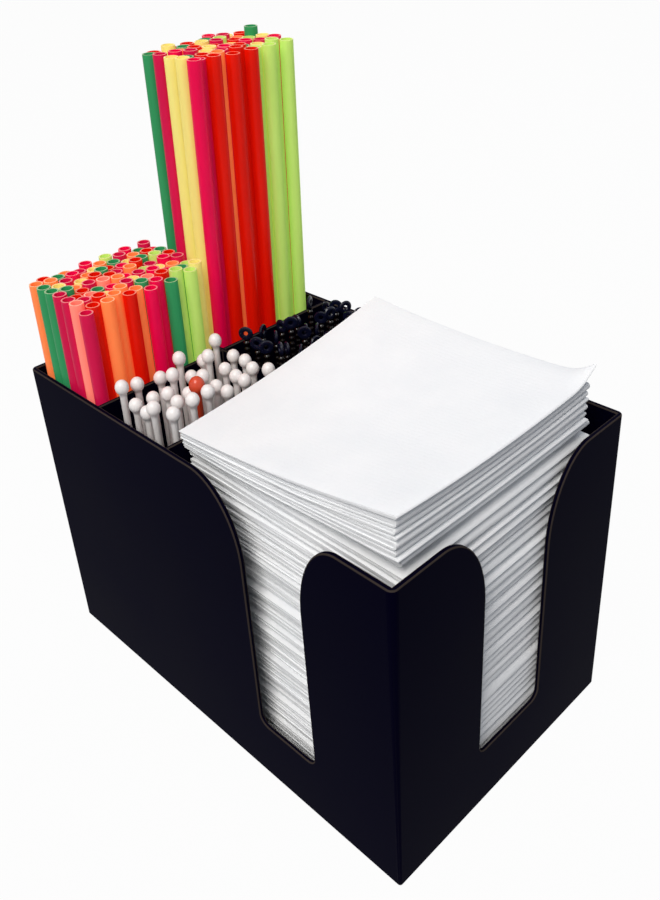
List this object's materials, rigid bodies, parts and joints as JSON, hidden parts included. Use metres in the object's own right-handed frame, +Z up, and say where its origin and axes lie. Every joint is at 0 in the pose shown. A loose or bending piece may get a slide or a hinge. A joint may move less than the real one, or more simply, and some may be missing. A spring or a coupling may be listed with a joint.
{
  "type": "bar caddy",
  "caption": "Open black bar caddy: a square bay with grab cutouts holds folded napkins, and narrow bays hold straws, stirrers and picks.",
  "frame": {"origin": "on the table, under the middle of the caddy", "axes": "+Z up, +X towards the napkin end, -Y towards the long side with the grab cutout"},
  "size_m": [0.241, 0.15, 0.3063],
  "materials": {
    "black_moulding": "satin moulded, black",
    "tissue": "embossed white tissue",
    "white_plastic": "glossy white",
    "black_pick": "glossy black",
    "straw_green": "smooth extruded, slightly translucent",
    "straw_crimson": "smooth extruded, slightly translucent",
    "straw_yellow": "smooth extruded, slightly translucent",
    "straw_pink": "smooth extruded, slightly translucent",
    "straw_red": "smooth extruded, slightly translucent",
    "straw_orange": "smooth extruded, slightly translucent",
    "straw_lime": "smooth extruded, slightly translucent",
    "straw_salmon": "smooth extruded, slightly translucent"
  },
  "bodies": {
    "caddy": {"caddy_shell": "black_moulding"},
    "napkin_pile": {"napkin_stack": "tissue", "napkins_upper": "tissue"},
    "top_napkin": {"napkin_top": "tissue"},
    "long_straws": {"long_straws_green": "straw_green", "long_straws_crimson": "straw_crimson", "long_straws_yellow": "straw_yellow", "long_straws_pink": "straw_pink", "long_straws_red": "straw_red", "long_straws_orange": "straw_orange", "long_straws_lime": "straw_lime"},
    "short_straws": {"short_straws_green": "straw_green", "short_straws_crimson": "straw_crimson", "short_straws_yellow": "straw_yellow", "short_straws_pink": "straw_pink", "short_straws_red": "straw_red", "short_straws_orange": "straw_orange", "short_straws_lime": "straw_lime", "short_straws_salmon": "straw_salmon"},
    "stirrers": {"stirrers_white": "white_plastic", "stirrer_red": "straw_red"},
    "picks": {"picks_black": "black_pick"}
  },
  "joints": [
    {"name": "napkin_pile_lift", "type": "slide", "parent": "caddy", "child": "napkin_pile", "axis": [0, 0, 1], "range_m": [0, 0.165]},
    {"name": "top_napkin_lift", "type": "slide", "parent": "napkin_pile", "child": "top_napkin", "axis": [0, 0, 1], "range_m": [0, 0.06]},
    {"name": "long_straws_lift", "type": "slide", "parent": "caddy", "child": "long_straws", "axis": [0, 0, 1], "range_m": [0, 0.165]},
    {"name": "short_straws_lift", "type": "slide", "parent": "caddy", "child": "short_straws", "axis": [0, 0, 1], "range_m": [0, 0.165]},
    {"name": "stirrers_lift", "type": "slide", "parent": "caddy", "child": "stirrers", "axis": [0, 0, 1], "range_m": [0, 0.165]},
    {"name": "picks_lift", "type": "slide", "parent": "caddy", "child": "picks", "axis": [0, 0, 1], "range_m": [0, 0.165]}
  ]
}
